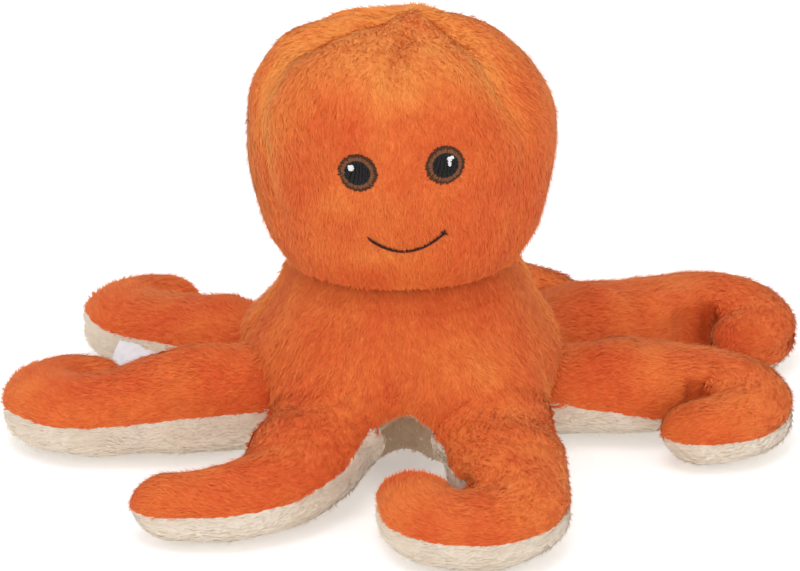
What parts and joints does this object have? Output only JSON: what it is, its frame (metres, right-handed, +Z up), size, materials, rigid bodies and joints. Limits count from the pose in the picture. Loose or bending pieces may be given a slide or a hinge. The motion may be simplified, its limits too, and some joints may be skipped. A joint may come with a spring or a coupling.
{
  "type": "plush octopus",
  "caption": "Soft sitting octopus with a pear-shaped head, embroidered eyes and smile, and curled arms with pale undersides.",
  "frame": {"origin": "middle of the flat patch of the sole, on the surface that the toy sits on", "axes": "+Z up, face towards -Y, the toy's left arm side seen from the front towards -X"},
  "size_m": [0.2423, 0.2303, 0.1305],
  "materials": {
    "plush_orange": "long brushed pile, matt with a soft sheen",
    "plush_cream": "long brushed pile, matt with a soft sheen",
    "fibre_fill": "loose spun fibre",
    "pouch_cloth": "plain woven cloth, pellets inside",
    "thread_brown": "satin stitch",
    "thread_black": "satin stitch",
    "thread_white": "satin stitch",
    "thread_maroon": "stem stitch",
    "label_satin": "woven satin, blank"
  },
  "bodies": {
    "torso": {"body_front_panel": "plush_orange", "body_back_panel": "plush_orange", "body_sole": "plush_cream", "body_stuffing": "fibre_fill", "pellet_pouch": "pouch_cloth"},
    "neck": {"neck_stuffing": "fibre_fill"},
    "head": {"face_panel": "plush_orange", "head_right_panel": "plush_orange", "head_back_panel": "plush_orange", "head_left_panel": "plush_orange", "head_stuffing": "fibre_fill", "eye_left_iris": "thread_brown", "eye_left_pupil": "thread_black", "eye_left_highlight": "thread_white", "eye_right_iris": "thread_brown", "eye_right_pupil": "thread_black", "eye_right_highlight": "thread_white", "mouth_stitching": "thread_maroon"},
    "arm_front_right": {"arm_front_right_top": "plush_orange", "arm_front_right_sole": "plush_cream", "arm_front_right_stuffing": "fibre_fill"},
    "arm_right": {"arm_right_top": "plush_orange", "arm_right_sole": "plush_cream", "arm_right_stuffing": "fibre_fill"},
    "arm_rear_right": {"arm_rear_right_top": "plush_orange", "arm_rear_right_sole": "plush_cream", "arm_rear_right_stuffing": "fibre_fill"},
    "arm_back_right": {"arm_back_right_top": "plush_orange", "arm_back_right_sole": "plush_cream", "arm_back_right_stuffing": "fibre_fill"},
    "arm_back_left": {"arm_back_left_top": "plush_orange", "arm_back_left_sole": "plush_cream", "arm_back_left_stuffing": "fibre_fill"},
    "arm_rear_left": {"arm_rear_left_top": "plush_orange", "arm_rear_left_sole": "plush_cream", "arm_rear_left_stuffing": "fibre_fill", "care_label": "label_satin"},
    "arm_left": {"arm_left_top": "plush_orange", "arm_left_sole": "plush_cream", "arm_left_stuffing": "fibre_fill"},
    "arm_front_left": {"arm_front_left_top": "plush_orange", "arm_front_left_sole": "plush_cream", "arm_front_left_stuffing": "fibre_fill"}
  },
  "joints": [
    {"name": "head_turn", "type": "hinge", "parent": "torso", "child": "neck", "pos_m": [0, 0, 0.0335], "axis": [0, 0, 1], "range_deg": [-30, 30], "stiffness_Nm_per_rad": 0.1},
    {"name": "head_nod", "type": "hinge", "parent": "neck", "child": "head", "pos_m": [0, 0, 0.0335], "axis": [1, 0, 0], "range_deg": [-12, 12], "stiffness_Nm_per_rad": 0.5},
    {"name": "arm_front_right_lift", "type": "hinge", "parent": "torso", "child": "arm_front_right", "pos_m": [0.02681, -0.03624, 0.014], "axis": [-0.9914, -0.1305, 0], "range_deg": [-15, 25], "stiffness_Nm_per_rad": 0.08},
    {"name": "arm_right_lift", "type": "hinge", "parent": "torso", "child": "arm_right", "pos_m": [0.046, 0, 0.014], "axis": [0.0872, -0.9962, 0], "range_deg": [-15, 25], "stiffness_Nm_per_rad": 0.08},
    {"name": "arm_rear_right_lift", "type": "hinge", "parent": "torso", "child": "arm_rear_right", "pos_m": [0.03784, 0.0329, 0.014], "axis": [0.5736, -0.8192, 0], "range_deg": [-15, 25], "stiffness_Nm_per_rad": 0.08},
    {"name": "arm_back_right_lift", "type": "hinge", "parent": "torso", "child": "arm_back_right", "pos_m": [0.01345, 0.05021, 0.014], "axis": [0.9397, -0.342, 0], "range_deg": [-15, 25], "stiffness_Nm_per_rad": 0.08},
    {"name": "arm_back_left_lift", "type": "hinge", "parent": "torso", "child": "arm_back_left", "pos_m": [-0.01692, 0.04915, 0.014], "axis": [0.9903, 0.1392, 0], "range_deg": [-15, 25], "stiffness_Nm_per_rad": 0.08},
    {"name": "arm_rear_left_lift", "type": "hinge", "parent": "torso", "child": "arm_rear_left", "pos_m": [-0.04128, 0.02681, 0.014], "axis": [0.5299, 0.848, 0], "range_deg": [-15, 25], "stiffness_Nm_per_rad": 0.08},
    {"name": "arm_left_lift", "type": "hinge", "parent": "torso", "child": "arm_left", "pos_m": [-0.04453, -0.01152, 0.014], "axis": [-0.1045, 0.9945, 0], "range_deg": [-15, 25], "stiffness_Nm_per_rad": 0.08},
    {"name": "arm_front_left_lift", "type": "hinge", "parent": "torso", "child": "arm_front_left", "pos_m": [-0.02389, -0.03823, 0.014], "axis": [-0.9455, 0.3256, 0], "range_deg": [-15, 25], "stiffness_Nm_per_rad": 0.08}
  ]
}
